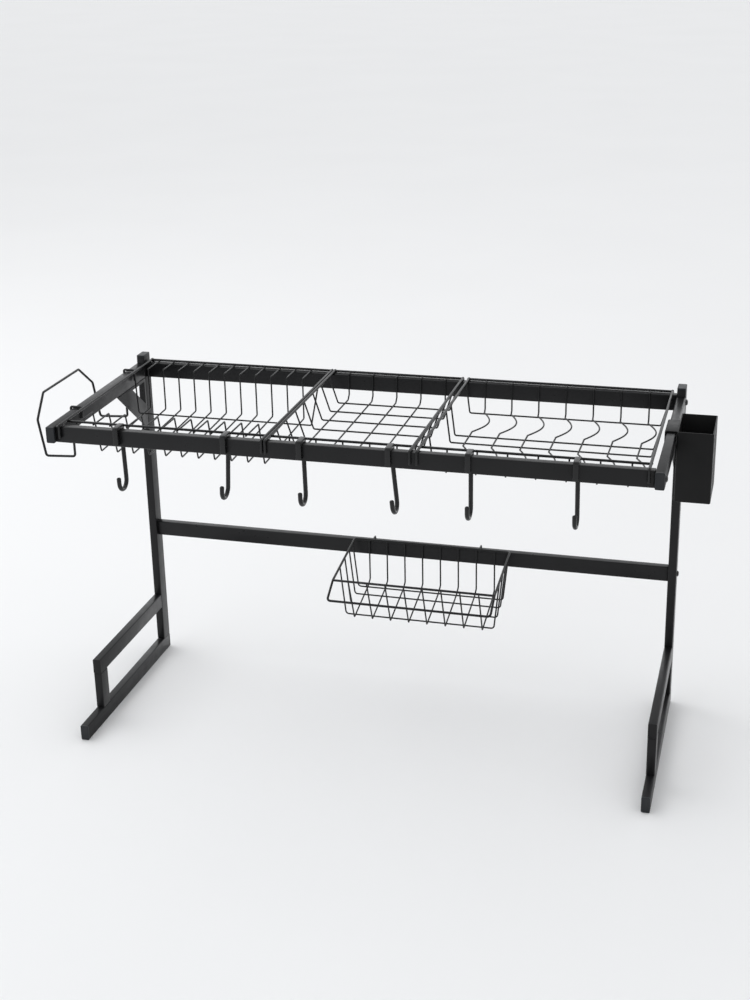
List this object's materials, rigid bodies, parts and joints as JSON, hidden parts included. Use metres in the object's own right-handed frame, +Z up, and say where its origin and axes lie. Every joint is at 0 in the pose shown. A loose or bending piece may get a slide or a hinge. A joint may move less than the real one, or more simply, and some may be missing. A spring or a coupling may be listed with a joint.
{
  "type": "dish drying rack",
  "caption": "Over-sink dish drying rack: two tube end frames joined by rails, lift-off wire racks, a hanging basket, sliding hooks, a board holder and a utensil box.",
  "frame": {"origin": "middle of the whole rack's footprint on the floor, with the board holder and utensil box counted", "axes": "+X along the rails towards the utensil box, +Y from the arms' open front ends towards the rear posts, +Z up"},
  "size_m": [0.9646, 0.345, 0.5175],
  "materials": {
    "powder_coat": "satin black powder coat",
    "cap_plastic": "matte black",
    "bolt_black": "black oxide"
  },
  "bodies": {
    "frame": {"left_foot_bar": "powder_coat", "left_foot_front_cap": "cap_plastic", "left_foot_rear_cap": "cap_plastic", "left_front_upright": "powder_coat", "left_upper_bar": "powder_coat", "left_post": "powder_coat", "left_post_cap": "cap_plastic", "left_arm": "powder_coat", "left_arm_cap": "cap_plastic", "left_gusset": "powder_coat", "left_front_rail_bolt": "bolt_black", "left_rear_rail_bolt": "bolt_black", "left_crossbar_bolt": "bolt_black", "right_foot_bar": "powder_coat", "right_foot_front_cap": "cap_plastic", "right_foot_rear_cap": "cap_plastic", "right_front_upright": "powder_coat", "right_upper_bar": "powder_coat", "right_post": "powder_coat", "right_post_cap": "cap_plastic", "right_arm": "powder_coat", "right_arm_cap": "cap_plastic", "right_gusset": "powder_coat", "right_front_rail_bolt": "bolt_black", "right_rear_rail_bolt": "bolt_black", "right_crossbar_bolt": "bolt_black", "front_rail": "powder_coat", "rear_rail": "powder_coat", "crossbar": "powder_coat"},
    "plate_rack": {"plate_rack": "powder_coat", "plate_rack_left_wire": "powder_coat", "plate_rack_right_wire": "powder_coat"},
    "middle_rack": {"middle_rack": "powder_coat", "middle_rack_left_wire": "powder_coat", "middle_rack_right_wire": "powder_coat"},
    "bowl_rack": {"bowl_rack": "powder_coat", "bowl_rack_left_wire": "powder_coat", "bowl_rack_right_wire": "powder_coat"},
    "hanging_basket": {"hanging_basket": "powder_coat"},
    "hook_1": {"hook_1": "powder_coat"},
    "hook_2": {"hook_2": "powder_coat"},
    "hook_3": {"hook_3": "powder_coat"},
    "hook_4": {"hook_4": "powder_coat"},
    "hook_5": {"hook_5": "powder_coat"},
    "hook_6": {"hook_6": "powder_coat"},
    "board_holder": {"board_holder": "powder_coat"},
    "utensil_box": {"utensil_box": "powder_coat"}
  },
  "joints": [
    {"name": "plate_rack_lift", "type": "slide", "parent": "frame", "child": "plate_rack", "axis": [0, 0, 1], "range_m": [0, 0.1]},
    {"name": "middle_rack_lift", "type": "slide", "parent": "frame", "child": "middle_rack", "axis": [0, 0, 1], "range_m": [0, 0.1]},
    {"name": "bowl_rack_lift", "type": "slide", "parent": "frame", "child": "bowl_rack", "axis": [0, 0, 1], "range_m": [0, 0.1]},
    {"name": "hanging_basket_lift", "type": "slide", "parent": "frame", "child": "hanging_basket", "axis": [0, 0, 1], "range_m": [0, 0.06]},
    {"name": "board_holder_lift", "type": "slide", "parent": "frame", "child": "board_holder", "axis": [0, 0, 1], "range_m": [0, 0.06]},
    {"name": "utensil_box_lift", "type": "slide", "parent": "frame", "child": "utensil_box", "axis": [0, 0, 1], "range_m": [0, 0.06]},
    {"name": "hook_1_slide", "type": "slide", "parent": "frame", "child": "hook_1", "axis": [1, 0, 0], "range_m": [-0.06, 0.06]},
    {"name": "hook_2_slide", "type": "slide", "parent": "frame", "child": "hook_2", "axis": [1, 0, 0], "range_m": [-0.08, 0.03]},
    {"name": "hook_3_slide", "type": "slide", "parent": "frame", "child": "hook_3", "axis": [1, 0, 0], "range_m": [-0.034, 0.045]},
    {"name": "hook_4_slide", "type": "slide", "parent": "frame", "child": "hook_4", "axis": [1, 0, 0], "range_m": [-0.06, 0.015]},
    {"name": "hook_5_slide", "type": "slide", "parent": "frame", "child": "hook_5", "axis": [1, 0, 0], "range_m": [-0.05, 0.05]},
    {"name": "hook_6_slide", "type": "slide", "parent": "frame", "child": "hook_6", "axis": [1, 0, 0], "range_m": [-0.07, 0.075]}
  ]
}
